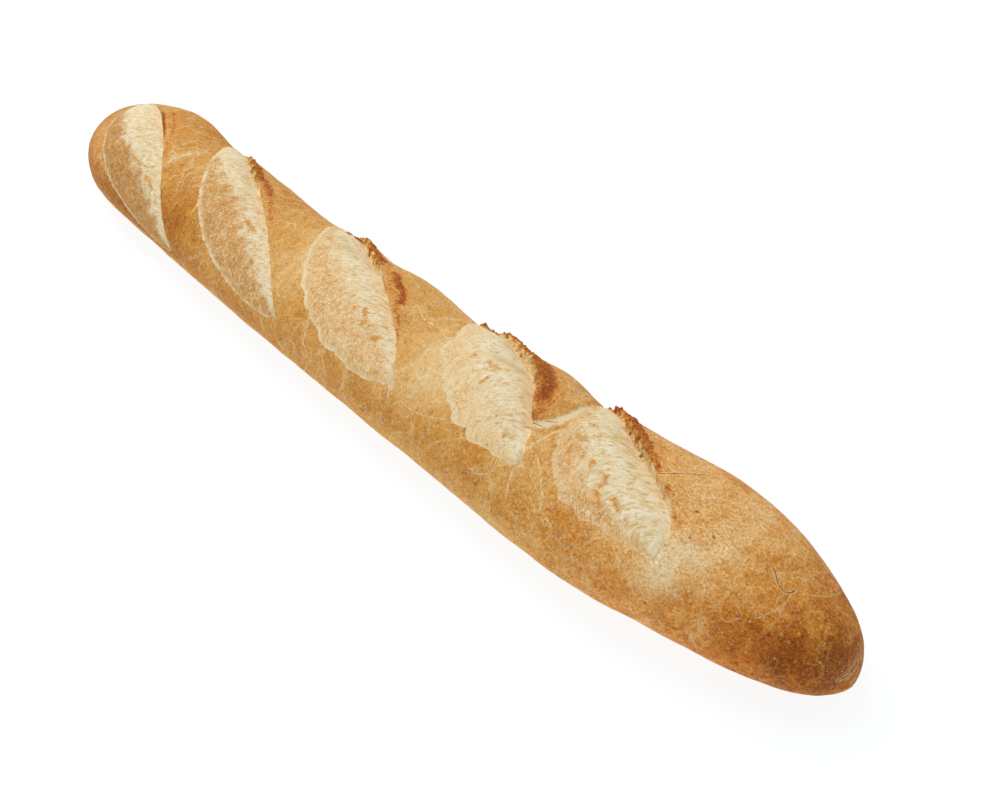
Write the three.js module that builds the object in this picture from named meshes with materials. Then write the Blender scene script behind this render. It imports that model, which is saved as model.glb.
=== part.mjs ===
// A baguette: one loaf of white bread, about 480 mm long, with five slanting
// slashes that opened in the oven. It lies along X on its flat underside.
// Millimetres and degrees. +Z is up, +X points to the thicker, darker end.
//
// Every point of the crust is found from two numbers: x along the loaf, and the
// turn round it in degrees, 0 at the top and positive down the front (-Y) side.
import * as THREE from 'three';

// The whole loaf
const LENGTH = 480;
const HALF_WIDTH = 33.8;
const HEIGHT_TO_WIDTH = 0.8;
const TAPER = 0.068;          // how much thicker the +X half is, as a share
const WAIST = 0.015;          // a slight swelling at the middle, as a share
const BOW = 11.2;             // sideways bend of the centre line
const SWAY = 3.45;            // its S-bend
const FAR_END = { length: 64, roundness: 1.74 };
const NEAR_END = { length: 94, roundness: 2.04 };
const TIP_DROOP = 0.42;       // height of the tips, as a share of the half height
const BASE_CUT = 0.18;        // how far the underside is flattened, likewise
const BASE_EDGE_RADIUS = 2.5; // blend between the flat underside and the sides
const CRUST_PER_DEGREE = 0.53; // mm of crust round the loaf for one degree

// The five openings. A slash runs from its top end to its foot, each given as
// [x, degrees]. The dough has burst open on the far side of it by `width`, widest
// at the share `widest` of its length and `blunt` or pointed at its ends: the
// lower the number, the blunter. The slash line itself bows the other way by
// `bow`. The near side has lifted into a lip of height `lip`, which leans over the
// opening by `lean` down to the share `lipEnd`. Under it lies a valley, which
// gets its depth between the two shares `hollow`.
const SLASHES = [
  { top: [-203, -30], foot: [-113, 90], width: 26, widest: 0.42, blunt: 0.55, bow: 10,
    bowAt: 0.50, lip: 1.6, valley: 2.0, hollow: [0, 0.14], lean: 0.8,
    lipEnd: 0.40 },
  { top: [-147, -70], foot: [-32, 67], width: 26.2, widest: 0.56, blunt: 0.57, bow: 6.2,
    bowAt: 0.69, lip: 2.2, valley: 2.4, hollow: [0.10, 0.40], lean: 1.2,
    lipEnd: 0.62 },
  { top: [-57, -78], foot: [40, 48], width: 31.6, widest: 0.52, blunt: 0.57, bow: 5.2,
    bowAt: 0.77, lip: 2.6, valley: 2.8, hollow: [0.12, 0.50], lean: 1.6,
    lipEnd: 0.75 },
  { top: [30, -85], foot: [108, 42], width: 26.5, widest: 0.57, blunt: 0.75, bow: 10.3,
    bowAt: 0.58, lip: 3.2, valley: 3.6, hollow: [0.20, 0.55], lean: 2.4,
    lipEnd: 0.82 },
  { top: [103, -70], foot: [172, 46], width: 29.9, widest: 0.54, blunt: 1.14, bow: 7.9,
    bowAt: 0.83, lip: 2.6, valley: 3.2, hollow: [0.15, 0.50], lean: 1.2,
    lipEnd: 0.72 },
];
const LIP_WALL = 0.6;         // half the thickness of the step at the slash line
const LIP_FADE = 11;          // how far the lifted crust runs back from the lip
const LEAN_FADE = 3;
const VALLEY_WIDTH = 7.5;
const DOUGH_SWELL = 1;        // how far the burst dough bulges
const NEAR_SIDE_POWER = 0.8;  // bluntness of the bow of every slash line

// The crags that stand along the upper part of each lip
const CRAG = { seed: 7, height: 0.5, spacing: 5.2, from: 0.14 };

// The lifted crust beside the fourth slash has broken off along a line over the
// loaf, as [x, degrees], and past it the share `left` of its height remains.
const BROKEN_FLAP = {
  slash: 3,
  end: [[97, 17], [104, 7], [107.5, -7], [107, -25], [104, -50]],
  left: 0.3,
  slope: 2.5,
};

// Swellings (+) and hollows (-) of the loaf: [x, degrees, length, turn, height]
const UNEVENNESS = [
  [-222, 55, 22, 70, -2.8], [-233, -70, 14, 50, 1.8], [-172, -52, 18, 40, 1.8],
  [-142, -52, 20, 40, -1.2], [-104, -50, 20, 34, -1.0], [-70, -50, 18, 40, -2.0],
  [-24, -50, 14, 30, -1.5], [6, -52, 16, 40, 1.2], [37, -58, 18, 28, -1.9],
  [66, -50, 14, 30, -2.0], [86, -52, 12, 34, 0.8], [111, -58, 18, 30, -3.2],
  [138, -50, 18, 30, -1.2], [184, -55, 28, 45, 1.0], [216, -40, 20, 40, -1.4],
  [-5, 95, 40, 40, -0.9], [56, 92, 20, 30, -0.9], [98, 112, 20, 30, 0.7],
  [132, 95, 24, 40, 1.7], [184, 100, 24, 40, -1.9], [228, 50, 14, 60, 1.9],
  [234, 20, 9, 120, 1.2],
];

// The mesh: rings across the loaf follow the slashes, so that each lip has an
// edge of its own, and they lie closer where the top shows most shape.
const RING_SPACING = 5.2;
const LIP_RINGS = [-4.5, -1.8, -0.6, 0.6, 1.8, 4.5]; // mm across the slash line
const TOP_TURN = { from: -80, to: 100, step: 5 };
const UNDERSIDE_STEP = 13;
const TIP_CROWDING = 1.9;     // rings crowd together towards the tips

const HALF_LENGTH = LENGTH / 2;
const HALF_HEIGHT = HALF_WIDTH * HEIGHT_TO_WIDTH;
const RADIANS = Math.PI / 180;

function clamp(value, low, high) {
  return Math.min(Math.max(value, low), high);
}

function smooth(from, to, value) {
  const share = clamp((value - from) / (to - from), 0, 1);
  return share * share * (3 - 2 * share);
}

// An arch that is 0 at both ends of 0..1 and 1 at the peak
function arch(share, peak, power) {
  const warped = clamp(share, 0, 1) ** (Math.log(0.5) / Math.log(peak));
  return Math.max(Math.sin(Math.PI * warped), 0) ** power;
}

function roundedEnd(distance, end) {
  const share = clamp(distance / end.length, 0, 1);
  return (1 - (1 - share) ** end.roundness) ** (1 / end.roundness);
}

function halfWidthAt(x) {
  const ends = roundedEnd(HALF_LENGTH - x, NEAR_END) * roundedEnd(x + HALF_LENGTH, FAR_END);
  const along = (2 * x) / LENGTH;
  return HALF_WIDTH * ends * (1 + TAPER * along) * (1 - WAIST * Math.cos(Math.PI * along));
}

function centreLineAt(x) {
  const along = x / LENGTH;
  return BOW * (4 * along ** 2 - 0.33) + SWAY * (8 * along ** 3 - 2 * along);
}

// The plain loaf before it opened, with its underside still round
function plainCrust(x, turn) {
  const halfWidth = halfWidthAt(x);
  const halfHeight = halfWidth * HEIGHT_TO_WIDTH;
  const drop = (HALF_HEIGHT - halfHeight) * TIP_DROOP - BASE_CUT * HALF_HEIGHT;
  return new THREE.Vector3(
    x,
    centreLineAt(x) - halfWidth * Math.sin(turn * RADIANS),
    halfHeight * (1 + Math.cos(turn * RADIANS)) + drop,
  );
}

function outward(x, turn) {
  const step = 0.01;
  const inner = clamp(x, 0.5 - HALF_LENGTH, HALF_LENGTH - 0.5);
  const along = plainCrust(inner + step, turn).sub(plainCrust(inner - step, turn));
  const round = plainCrust(inner, turn + step).sub(plainCrust(inner, turn - step));
  return along.cross(round).negate().normalize();
}

// A slash as a line on the unrolled crust, with its length and direction
function lineOf(slash) {
  const start = new THREE.Vector2(slash.top[0], slash.top[1] * CRUST_PER_DEGREE);
  const end = new THREE.Vector2(slash.foot[0], slash.foot[1] * CRUST_PER_DEGREE);
  const direction = end.clone().sub(start);
  const length = direction.length();
  return { start, length, direction: direction.divideScalar(length) };
}

const LINES = SLASHES.map(lineOf);

// Where a point of the crust lies against a slash: `share` along it, `back` mm
// behind its lip, and `across` the opening, 0 at the lip and 1 at the far edge
function placeAt(slash, line, x, turn) {
  const offset = new THREE.Vector2(x, turn * CRUST_PER_DEGREE).sub(line.start);
  const share = offset.dot(line.direction) / line.length;
  const side = line.direction.x * offset.y - line.direction.y * offset.x;
  const near = -slash.bow * arch(share, slash.bowAt, NEAR_SIDE_POWER);
  const far = slash.width * arch(share, slash.widest, slash.blunt);
  return { share, back: near - side, across: (side - near) / Math.max(far - near, 0.001) };
}

// The share of a lip's height that is left where its flap has broken off
function flapLeftAt(x, turn) {
  const { end, left, slope } = BROKEN_FLAP;
  const level = clamp(turn, end[end.length - 1][1], end[0][1]);
  const next = Math.max(end.findIndex((point) => point[1] <= level), 1);
  const [fromX, fromTurn] = end[next - 1];
  const [toX, toTurn] = end[next];
  const endX = fromX + ((toX - fromX) * (level - fromTurn)) / (toTurn - fromTurn);
  return left + (1 - left) * smooth(slope, -slope, x - endX);
}

function lipOf(slash, place, whole) {
  const start = smooth(0.04, 0.24, place.share);
  const reach = start * (1 - smooth(slash.lipEnd - 0.06, slash.lipEnd + 0.1, place.share));
  const step = whole * reach * smooth(-LIP_WALL, LIP_WALL, place.back);
  const behind = Math.max(place.back - LIP_WALL, 0);
  return {
    rise: slash.lip * step * Math.exp(-behind / LIP_FADE),
    lean: slash.lean * step * Math.exp(-((behind / LEAN_FADE) ** 2)),
  };
}

function valleyOf(slash, place) {
  const deep = smooth(...slash.hollow, place.share) * (1 - smooth(slash.lipEnd, 1, place.share));
  const open = 1 - smooth(-LIP_WALL, LIP_WALL, place.back);
  const ahead = Math.max(-place.back, 0) / VALLEY_WIDTH;
  return slash.valley * deep * open * Math.exp(-(ahead ** 1.4));
}

function swellOf(place) {
  const across = clamp(place.across, 0, 1);
  return DOUGH_SWELL * Math.sin(Math.PI * across) * arch(place.share, 0.5, 0.6);
}

// A repeatable number from 0 to 1 for each crag
function draw(index) {
  const value = Math.sin((index + CRAG.seed) * 127.1) * 43758.5453;
  return value - Math.floor(value);
}

function cragOf(slash, line, place, slashIndex) {
  const reach = smooth(CRAG.from, CRAG.from + 0.1, place.share)
    * (1 - smooth(slash.lipEnd - 0.3, slash.lipEnd - 0.1, place.share));
  const station = (place.share * line.length) / CRAG.spacing;
  const index = Math.floor(station);
  const tooth = Math.sin(Math.PI * (station - index)) * draw(index + 40 * slashIndex);
  const onLip = smooth(-LIP_WALL, LIP_WALL, place.back) * Math.exp(-Math.max(place.back, 0) / 2);
  return CRAG.height * slash.lip * tooth * reach * onLip;
}

function unevennessAt(x, turn) {
  let height = 0;
  for (const [atX, atTurn, length, span, rise] of UNEVENNESS) {
    const turned = THREE.MathUtils.euclideanModulo(turn - atTurn + 180, 360) - 180;
    height += rise * Math.exp(-(((x - atX) / length) ** 2) - (turned / span) ** 2);
  }
  return height;
}

// The underside is exactly flat, with a soft edge
function aboveBase(z) {
  if (z > BASE_EDGE_RADIUS) return z;
  if (z < -BASE_EDGE_RADIUS) return 0;
  return (z + BASE_EDGE_RADIUS) ** 2 / (4 * BASE_EDGE_RADIUS);
}

function crustPoint(x, degrees) {
  const turn = THREE.MathUtils.euclideanModulo(degrees + 180, 360) - 180;
  let height = unevennessAt(x, turn);
  let movedX = x;
  let movedTurn = turn;
  SLASHES.forEach((slash, index) => {
    const line = LINES[index];
    const place = placeAt(slash, line, x, turn);
    if (place.share <= 0 || place.share >= 1) return;
    const whole = index === BROKEN_FLAP.slash ? flapLeftAt(x, turn) : 1;
    const { rise, lean } = lipOf(slash, place, whole);
    height += rise + swellOf(place) + cragOf(slash, line, place, index);
    height -= valleyOf(slash, place);
    movedX -= line.direction.y * lean;
    movedTurn += (line.direction.x * lean) / CRUST_PER_DEGREE;
  });
  height *= smooth(0, 7, HALF_LENGTH - Math.abs(x));
  const point = plainCrust(movedX, movedTurn).addScaledVector(outward(movedX, movedTurn), height);
  point.z = aboveBase(point.z);
  return point;
}

// The x of a slash line at each turn, carried on round the underside so that
// the rings of the mesh close
function slashTrack(slash, line) {
  const steps = 200;
  const track = [];
  let furthest = slash.top[1];
  for (let step = 0; step <= steps; step += 1) {
    const share = step / steps;
    const side = -slash.bow * arch(share, slash.bowAt, NEAR_SIDE_POWER);
    const x = line.start.x + line.direction.x * share * line.length - line.direction.y * side;
    const y = line.start.y + line.direction.y * share * line.length + line.direction.x * side;
    furthest = Math.max(furthest, y / CRUST_PER_DEGREE);
    track.push({ x, turn: furthest });
  }
  return track;
}

function slashX(track, degrees) {
  const first = track[0];
  const last = track[track.length - 1];
  const turn = THREE.MathUtils.euclideanModulo(degrees - first.turn, 360) + first.turn;
  if (turn >= last.turn) {
    const share = (turn - last.turn) / (360 - last.turn + first.turn);
    return last.x + (first.x - last.x) * smooth(0, 1, share);
  }
  const next = track.findIndex((point) => point.turn > turn);
  const before = track[next - 1];
  const after = track[next];
  return before.x + ((after.x - before.x) * (turn - before.turn)) / (after.turn - before.turn);
}

function turnsRoundLoaf() {
  const turns = [];
  for (let turn = TOP_TURN.from; turn <= TOP_TURN.to; turn += TOP_TURN.step) turns.push(turn);
  const rest = 360 - (TOP_TURN.to - TOP_TURN.from);
  const count = Math.round(rest / UNDERSIDE_STEP);
  for (let step = 1; step < count; step += 1) turns.push(TOP_TURN.to + (rest * step) / count);
  return turns;
}

// Shares of a stretch between two slashes at which rings stand
function ringShares(length, stretch) {
  const count = Math.max(2, Math.round(length / RING_SPACING));
  const shares = [];
  for (let step = 1; step < count; step += 1) {
    const share = step / count;
    if (stretch === 0) shares.push(share ** TIP_CROWDING);
    else if (stretch === SLASHES.length) shares.push(1 - (1 - share) ** TIP_CROWDING);
    else shares.push(share);
  }
  return shares;
}

// The x of every ring at every turn
function ringTable(turns) {
  const tracks = SLASHES.map((slash, index) => slashTrack(slash, LINES[index]));
  const lines = tracks.map((track) => turns.map((turn) => slashX(track, turn)));
  const topColumn = turns.indexOf(0);
  const rings = [];
  let from = turns.map(() => -HALF_LENGTH);
  for (let stretch = 0; stretch <= SLASHES.length; stretch += 1) {
    const atSlash = stretch < SLASHES.length;
    const widen = atSlash ? 1 / LINES[stretch].direction.y : 0;
    const start = from;
    const end = atSlash
      ? lines[stretch].map((x) => x + LIP_RINGS[0] * widen)
      : turns.map(() => HALF_LENGTH);
    for (const share of ringShares(end[topColumn] - start[topColumn], stretch)) {
      rings.push(start.map((x, column) => x + (end[column] - x) * share));
    }
    if (atSlash) {
      for (const offset of LIP_RINGS) rings.push(lines[stretch].map((x) => x + offset * widen));
      from = rings[rings.length - 1];
    }
  }
  return rings;
}

function loafGeometry() {
  const turns = turnsRoundLoaf();
  const rings = ringTable(turns);
  const positions = [];
  const faces = [];
  const farTip = crustPoint(-HALF_LENGTH, 0);
  const nearTip = crustPoint(HALF_LENGTH, 0);
  for (const ring of rings) {
    ring.forEach((x, column) => positions.push(...crustPoint(x, turns[column])));
  }
  positions.push(...farTip, ...nearTip);
  const columns = turns.length;
  const farIndex = rings.length * columns;
  const nearIndex = farIndex + 1;
  for (let column = 0; column < columns; column += 1) {
    const next = (column + 1) % columns;
    faces.push(farIndex, next, column);
    for (let row = 0; row < rings.length - 1; row += 1) {
      const a = row * columns + column;
      const b = row * columns + next;
      faces.push(a, b, a + columns, b, b + columns, a + columns);
    }
    const last = (rings.length - 1) * columns;
    faces.push(nearIndex, last + column, last + next);
  }
  const geometry = new THREE.BufferGeometry();
  geometry.setAttribute('position', new THREE.Float32BufferAttribute(positions, 3));
  geometry.setIndex(faces);
  return geometry;
}

// The origin is the middle of the loaf's box, on the surface it lies on
function standOnOrigin(geometry) {
  geometry.computeBoundingBox();
  const { min, max } = geometry.boundingBox;
  geometry.translate(-(min.x + max.x) / 2, -(min.y + max.y) / 2, -min.z);
  geometry.computeVertexNormals();
  return geometry;
}

const crust = new THREE.MeshStandardMaterial({ color: 0xd9a766, roughness: 0.75, metalness: 0 });
const baguette = new THREE.Mesh(standOnOrigin(loafGeometry()), crust);
baguette.name = 'baguette';

const loaf = new THREE.Group();
loaf.add(baguette);

export default loaf;
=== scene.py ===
# A baguette on a pale floor: one loaf with five slashes that burst open in the oven.
import functools
import math
from dataclasses import dataclass
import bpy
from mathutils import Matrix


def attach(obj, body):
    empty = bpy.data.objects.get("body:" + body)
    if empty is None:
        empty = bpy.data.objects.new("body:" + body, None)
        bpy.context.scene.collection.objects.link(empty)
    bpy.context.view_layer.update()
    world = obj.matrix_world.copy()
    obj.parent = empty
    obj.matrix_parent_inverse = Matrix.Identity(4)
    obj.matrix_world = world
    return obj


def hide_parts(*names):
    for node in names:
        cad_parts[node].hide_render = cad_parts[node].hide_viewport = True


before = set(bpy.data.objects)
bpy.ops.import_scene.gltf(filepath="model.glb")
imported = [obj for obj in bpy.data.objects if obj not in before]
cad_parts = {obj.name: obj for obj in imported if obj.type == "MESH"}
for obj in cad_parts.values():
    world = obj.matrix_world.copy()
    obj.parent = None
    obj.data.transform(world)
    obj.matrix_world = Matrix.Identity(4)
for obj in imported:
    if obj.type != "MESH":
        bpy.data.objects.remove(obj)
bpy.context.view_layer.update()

from types import SimpleNamespace

import bpy
import numpy as np
from mathutils import Vector

MM = 0.001
FAR_AWAY = 1000.0

# ---------------------------------------------------------------- the loaf's form
# Millimetres and degrees, as in the part's own source. Every point of the crust has
# an x along the loaf and a turn round it, 0 at the top and positive down the front.
# The far end is at -x and the near end, which is thicker and darker, at +x.
LENGTH = 480.0
HALF_WIDTH = 33.8
HEIGHT_TO_WIDTH = 0.8
TAPER = 0.068  # how much thicker the near half is, as a share
WAIST = 0.015  # a slight swelling at the middle, as a share
BOW = 11.2  # sideways bend of the centre line
SWAY = 3.45  # its S-bend
FAR_END = dict(length=64.0, roundness=1.74)
NEAR_END = dict(length=94.0, roundness=2.04)
TIP_DROOP = 0.42  # height of the tips, as a share of the half height
BASE_CUT = 0.18  # how far the underside is flattened, likewise
BASE_EDGE_RADIUS = 2.5  # blend between the flat underside and the sides
CRUST_PER_DEGREE = 0.53  # mm of crust round the loaf for one degree

HALF_LENGTH = LENGTH / 2
HALF_HEIGHT = HALF_WIDTH * HEIGHT_TO_WIDTH

# Swellings (+) and hollows (-): x, turn, length, span in degrees, height
UNEVENNESS = [
    (-222, 55, 22, 70, -2.8), (-233, -70, 14, 50, 1.8), (-172, -52, 18, 40, 1.8),
    (-142, -52, 20, 40, -1.2), (-104, -50, 20, 34, -1.0), (-70, -50, 18, 40, -2.0),
    (-24, -50, 14, 30, -1.5), (6, -52, 16, 40, 1.2), (37, -58, 18, 28, -1.9),
    (66, -50, 14, 30, -2.0), (86, -52, 12, 34, 0.8), (111, -58, 18, 30, -3.2),
    (138, -50, 18, 30, -1.2), (184, -55, 28, 45, 1.0), (216, -40, 20, 40, -1.4),
    (-5, 95, 40, 40, -0.9), (56, 92, 20, 30, -0.9), (98, 112, 20, 30, 0.7),
    (132, 95, 24, 40, 1.7), (184, 100, 24, 40, -1.9), (228, 50, 14, 60, 1.9),
    (234, 20, 9, 120, 1.2),
]


@dataclass
class Slash:
    """One slash and the leaf-shaped opening on the far side of it. Its ends are given by x
    and turn, and shares are of its length unless they say otherwise."""
    top: tuple
    foot: tuple
    width: float  # of the opening where it is widest
    widest: float  # the share at which that is
    blunt: float  # the lower, the blunter are the ends of the opening
    bow: float  # how far the slash line bows the other way
    bow_at: float  # the share at which it bows most
    lip: float  # height of the lifted lip
    valley: float  # depth of the valley in front of it
    lean: float  # how far the lip leans over that valley
    lip_end: float  # the share at which the lip has run out
    cream: tuple  # shares of the opening's width that stayed pale, at CREAM_AT
    baked: float  # how brown the rest of the opening is
    scallop: float  # how wavy its far edge is
    rim: float  # how pale that edge is
    hollow: tuple = (0.0, 0.14)  # the valley gets its depth between these shares
    crag: tuple = None  # two shares between which crumbs stand, and their mm ahead at both
    knobs: tuple = ()  # the largest crumbs: share, mm behind the lip, radius, height
    flap: bool = False  # whether the lifted lip has broken off at FLAP_END

    def __post_init__(self):
        run_x = self.foot[0] - self.top[0]
        run_y = (self.foot[1] - self.top[1]) * CRUST_PER_DEGREE
        self.length = math.hypot(run_x, run_y)
        self.along = (run_x / self.length, run_y / self.length)

    def point(self, share, back):
        """x and turn at a share of the way along the lip, some mm behind it."""
        side = -self.bow * arch(share, self.bow_at, NEAR_SIDE_POWER) - back
        run = share * self.length
        x = self.top[0] + self.along[0] * run - self.along[1] * side
        turn = self.top[1] + (self.along[1] * run + self.along[0] * side) / CRUST_PER_DEGREE
        return x, turn


CREAM_AT = (0.15, 0.5, 0.85)
SPIKE = 3.0  # a knob higher than this comes to a point
SLASHES = [
    Slash(top=(-203, -30), foot=(-113, 90), width=26, widest=0.42, blunt=0.55, bow=10,
          bow_at=0.50, lip=1.6, valley=2.0, lean=0.8, lip_end=0.40,
          cream=(0.72, 0.40, 0.24), baked=1.05, scallop=0.35, rim=0.7),
    Slash(top=(-147, -70), foot=(-32, 67), width=26.2, widest=0.56, blunt=0.57, bow=6.2,
          bow_at=0.69, lip=2.2, valley=2.4, lean=1.2, lip_end=0.62,
          cream=(0.95, 0.32, 0.26), baked=0.82, scallop=0.35, rim=1.0, hollow=(0.10, 0.40),
          crag=(0.17, 0.46, 2.2, 1.5),
          knobs=[(0.205, 0.3, 1.2, 1.4), (0.30, 0.0, 1.4, 0.4), (0.37, 0.0, 1.3, 0.3)]),
    Slash(top=(-57, -78), foot=(40, 48), width=31.6, widest=0.52, blunt=0.57, bow=5.2,
          bow_at=0.77, lip=2.6, valley=2.8, lean=1.6, lip_end=0.75,
          cream=(0.68, 0.48, 0.22), baked=0.56, scallop=0.7, rim=1.0, hollow=(0.12, 0.50),
          crag=(0.05, 0.52, 2.6, 1.8),
          knobs=[(0.17, -8.6, 1.8, 0.9), (0.19, -5.4, 2.0, 1.0), (0.20, -2.4, 1.8, 0.7),
                 (0.14, -0.5, 1.6, 0.5), (0.22, -0.3, 1.8, 0.5), (0.26, 0.3, 1.6, 0.5),
                 (0.31, -0.2, 1.5, 0.4), (0.38, 0.6, 1.6, 0.4)]),
    Slash(top=(30, -85), foot=(108, 42), width=26.5, widest=0.57, blunt=0.75, bow=10.3,
          bow_at=0.58, lip=3.2, valley=3.6, lean=2.4, lip_end=0.82, flap=True,
          cream=(0.74, 0.64, 0.55), baked=0.36, scallop=1.0, rim=0.7, hollow=(0.20, 0.55),
          crag=(0.0, 0.74, 4.6, 2.0),
          knobs=[(0.17, -9.5, 3.0, 2.0), (0.19, -6.0, 1.8, 0.7), (0.15, -2.5, 1.8, 1.0),
                 (0.13, 0.0, 1.8, 1.0), (0.20, 0.5, 1.8, 1.0), (0.28, 0.8, 2.0, 0.7),
                 (0.36, 0.4, 1.6, 0.4)]),
    Slash(top=(103, -70), foot=(172, 46), width=29.9, widest=0.54, blunt=1.14, bow=7.9,
          bow_at=0.83, lip=2.6, valley=3.2, lean=1.2, lip_end=0.72,
          cream=(0.80, 0.62, 0.66), baked=0.62, scallop=0.8, rim=0.35, hollow=(0.15, 0.50),
          crag=(0.04, 0.66, 3.2, 1.6),
          knobs=[(0.08, -0.4, 1.6, 0.8), (0.14, 0.0, 1.6, 3.4), (0.19, 0.0, 1.8, 0.8),
                 (0.25, 0.3, 1.8, 0.9), (0.33, 0.2, 1.6, 2.4), (0.38, 0.0, 1.8, 0.6),
                 (0.45, 0.0, 1.6, 0.4)]),
]
LIP_WALL = 0.6  # half the thickness of the step at the slash line
LIP_FADE = 11.0  # how far the lifted crust runs back from the lip
LEAN_FADE = 3.0
VALLEY_WIDTH = 7.5
DOUGH_SWELL = 1.0  # how far the burst dough bulges
NEAR_SIDE_POWER = 0.8  # bluntness of the bow of every slash line

# ---------------------------------------------------------------- marks on the crust
# All are given by x and turn. Cracks and veins are a strength and a line of points.
CRACKS = [
    (0.8, [(39, 53), (41, 61), (42.5, 70)]), (0.7, [(28, 94), (32, 82)]),
    (0.6, [(66, 82), (69, 73), (71, 67)]), (0.6, [(107.5, 41), (107.5, 45), (108, 51)]),
    (0.5, [(98.5, 61), (99.5, 56), (100, 51)]), (0.6, [(43, 69), (45, 63)]),
    (0.9, [(153, 0), (156, -6), (159.5, -15), (163, -24)]),
    (1.0, [(201, 0), (204.5, 4), (208, 10), (211, 11), (212.5, 8), (213, 2)]),
    (0.6, [(188, 58), (189, 54), (191, 50)]), (0.6, [(175, -13), (175, -19)]),
    (0.5, [(180, 20), (181.5, 17)]), (0.7, [(-102, 44), (-102, 37)]),
    (0.6, [(-117.5, 81), (-114, 85)]), (0.5, [(84, 77), (88, 69)]),
    (1.0, [(98, 18), (102, 14), (105, 13)]), (0.8, [(104, 9), (108, 4)]),
    (1.0, [(134, 104), (137, 116)]), (0.7, [(140, 110), (150, 95)]),
    (0.7, [(149, 99), (153, 99), (159, 96)]), (0.7, [(154, 101), (162, 92)]),
    (0.6, [(170, 99), (176, 88)]), (0.9, [(236.6, -49), (238.3, -10), (238.5, 30), (237, 62)]),
    (0.35, [(213, 2), (217, -4), (220, -16), (221, -34)]),
]
VEINS = [
    (1.0, [(-13.5, 49), (-12.5, 61), (-12, 73)]), (0.6, [(16, 60), (17, 70), (14, 89)]),
    (1.0, [(34.5, 45), (40, 51), (42, 67)]),
    (0.5, [(45, 63), (48, 56), (54, 57), (60, 55), (67, 50), (71.5, 46)]),
    (0.9, [(38, 41), (41.5, 33), (43.5, 25), (43, 16), (41.5, 7), (42.5, -1), (48, -14)]),
    (0.8, [(30.5, -5), (36.5, -7), (41.5, -10), (45, -20)]),
    (0.5, [(65.5, 84), (69.5, 70), (73.5, 62), (78, 56), (82.5, 49)]),
    (0.6, [(90, 66), (95, 66), (98.5, 62), (99.5, 56), (99.5, 48)]),
    (1.2, [(106.5, 38), (108, 51), (109, 59), (110.5, 69)]),
    (1.4, [(106, 40), (107, 31), (108.5, 22), (110, 13), (112.5, 5)]),
    (0.8, [(112.5, 32), (116, 38)]), (1.0, [(119, 42), (124, 52), (125.5, 59), (133, 65)]),
    (0.6, [(156, 52), (162, 58), (168, 67), (172, 79)]), (0.6, [(193, 80), (194, 71), (197.5, 64)]),
    (0.6, [(213, 8), (213.5, 20), (211.5, 33), (209, 42)]),
    (0.5, [(213, 2), (217, -4), (220, -16), (221, -34)]), (0.5, [(210, 76), (212, 64), (212, 58)]),
    (0.7, [(179, 61), (181, 53), (183, 48)]),
    (1.2, [(-142.5, 22), (-142, 13), (-140, 4), (-135.5, -7)]),
    (1.0, [(-147.5, 14), (-146.5, 3), (-142.5, -8), (-132, -14)]),
    (1.0, [(-118, 68), (-114, 79), (-108, 91)]), (0.8, [(-107, 27), (-108, 34), (-107, 44)]),
    (0.6, [(56, 63), (59, 71)]), (0.6, [(64, 53), (67, 64)]),
    (0.7, [(18.5, -12), (28, -5), (32.5, -7)]), (0.8, [(138, 42), (140, 50), (145, 48)]),
    (0.5, [(228.5, 36), (227.5, 17), (225.5, 3)]), (0.5, [(198, 55), (202.5, 56), (206, 47)]),
    (0.5, [(167, 1), (164.5, -13), (164.5, -26)]), (0.5, [(195, 12), (196, 2), (194.5, -10)]),
    (0.4, [(235.6, -44), (237.4, -10), (237.5, 30), (236, 58)]),
]
# Strokes of caramelised crust: points, half width, strength
CARAMEL = [
    ([(-176, -13.5), (-169, -7), (-163, -1), (-159, 5)], 1.0, 1.1),
    ([(-174, -20), (-167, -14), (-161, -6.5), (-157, 0)], 2.2, 0.65),
    ([(-166, -22), (-156, -8)], 4.2, 0.35), ([(-154.5, 7), (-150, 13), (-146, 18)], 1.0, 0.55),
    ([(-112, -36), (-105, -30), (-98, -25)], 1.8, 1.05),
    ([(-98, -27), (-91, -21), (-84, -14)], 2.2, 0.9), ([(-83, -13), (-77, -6), (-66, 8)], 1.2, 0.6),
    ([(-54, 29), (-49, 37)], 1.0, 0.4),
    ([(-36, -50), (-22, -40), (-10, -30)], 1.8, 0.7),
    ([(-2, -24), (5, -16.5), (10, -12), (14, -7), (16, -3)], 1.9, 1.05),
    ([(-9, -27), (-2, -19), (5, -12), (11, -6)], 1.8, 0.5), ([(16, 1), (19, 3.5)], 1.0, 0.7),
    ([(19, 3.5), (23, 9), (25.5, 14.5)], 1.1, 0.7), ([(26, 17), (30, 25)], 0.8, 0.6),
    ([(82, -33), (88, -24), (92, -17), (95, -10), (97.5, -4)], 2.8, 1.15),
    ([(77, -36), (88, -26), (94, -16), (99, -5)], 5.0, 0.50),
    ([(99, 0), (100.5, 6), (100, 12)], 2.4, 0.65),
    ([(57, -60), (68, -48), (77, -37)], 3.0, 0.65),
    ([(116, -45), (127, -33), (135, -24)], 2.0, 0.8),
    ([(136, -22), (142, -15), (147, -9), (152, -4)], 1.9, 0.8),
    ([(158, 3), (161, 5)], 1.8, 0.6), ([(167, 15), (168, 17)], 1.2, 0.5),
]
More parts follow.
